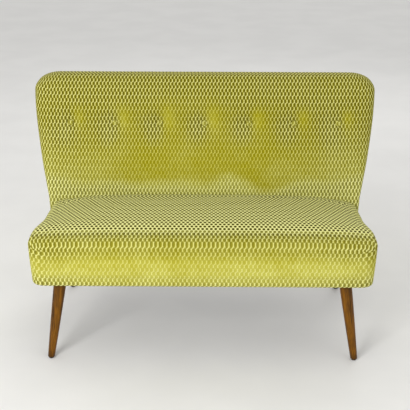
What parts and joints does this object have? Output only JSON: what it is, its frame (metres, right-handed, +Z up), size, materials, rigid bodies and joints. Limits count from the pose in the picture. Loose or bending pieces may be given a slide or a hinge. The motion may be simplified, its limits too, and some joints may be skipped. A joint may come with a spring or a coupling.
{
  "type": "two-seater settee",
  "caption": "Armless settee with a sprung upholstered seat, a flared buttoned back and splayed tapered wooden legs.",
  "frame": {"origin": "on the floor, under the centre of the settee's overall width and depth", "axes": "+X along the settee's width, to the right as seen from the front; +Y from the seat's front face to the outside back; +Z up"},
  "size_m": [1.261, 0.652, 0.86],
  "materials": {
    "velvet": "cut velvet in a stepped brick pattern",
    "foam": "open-cell cushion foam",
    "beech": "planed and unfinished",
    "lacquered_wood": "amber-brown gloss lacquer",
    "hessian": "coarse plain weave",
    "webbing": "woven strapping",
    "black_cloth": "thin black lining cloth",
    "twine": "waxed twine with a pale toggle",
    "spring_steel": "oiled spring wire",
    "zinc": "zinc plated",
    "dark_nickel": "dark nickel plated"
  },
  "bodies": {
    "root": {"back_button_1": "velvet", "back_button_2": "velvet", "back_button_3": "velvet", "back_button_4": "velvet", "back_button_5": "velvet", "back_button_6": "velvet", "back_button_7": "velvet", "back_cover": "velvet", "back_foam": "foam", "back_hessian": "hessian", "back_left_post": "beech", "back_lumbar_rail": "beech", "back_right_post": "beech", "back_top_rail": "beech", "back_webbing": "webbing", "button_tie_1": "twine", "button_tie_2": "twine", "button_tie_3": "twine", "button_tie_4": "twine", "button_tie_5": "twine", "button_tie_6": "twine", "button_tie_7": "twine", "corner_block_front_left": "beech", "corner_block_front_right": "beech", "corner_block_rear_left": "beech", "corner_block_rear_right": "beech", "dust_cover": "black_cloth", "hanger_bolt_front_left": "zinc", "hanger_bolt_front_right": "zinc", "hanger_bolt_rear_left": "zinc", "hanger_bolt_rear_right": "zinc", "leg_front_left": "lacquered_wood", "leg_front_right": "lacquered_wood", "leg_glide_front_left": "dark_nickel", "leg_glide_front_right": "dark_nickel", "leg_glide_rear_left": "dark_nickel", "leg_glide_rear_right": "dark_nickel", "leg_rear_left": "lacquered_wood", "leg_rear_right": "lacquered_wood", "outside_back_panel": "velvet", "post_screw_left": "zinc", "post_screw_right": "zinc", "seat_centre_stretcher": "beech", "seat_cover": "velvet", "seat_foam": "foam", "seat_front_rail": "beech", "seat_hessian": "hessian", "seat_left_rail": "beech", "seat_rear_rail": "beech", "seat_right_rail": "beech", "seat_spring_1": "spring_steel", "seat_spring_2": "spring_steel", "seat_spring_3": "spring_steel", "seat_spring_4": "spring_steel", "seat_spring_5": "spring_steel", "seat_spring_6": "spring_steel", "tee_nut_front_left": "zinc", "tee_nut_front_right": "zinc", "tee_nut_rear_left": "zinc", "tee_nut_rear_right": "zinc"}
  },
  "joints": []
}
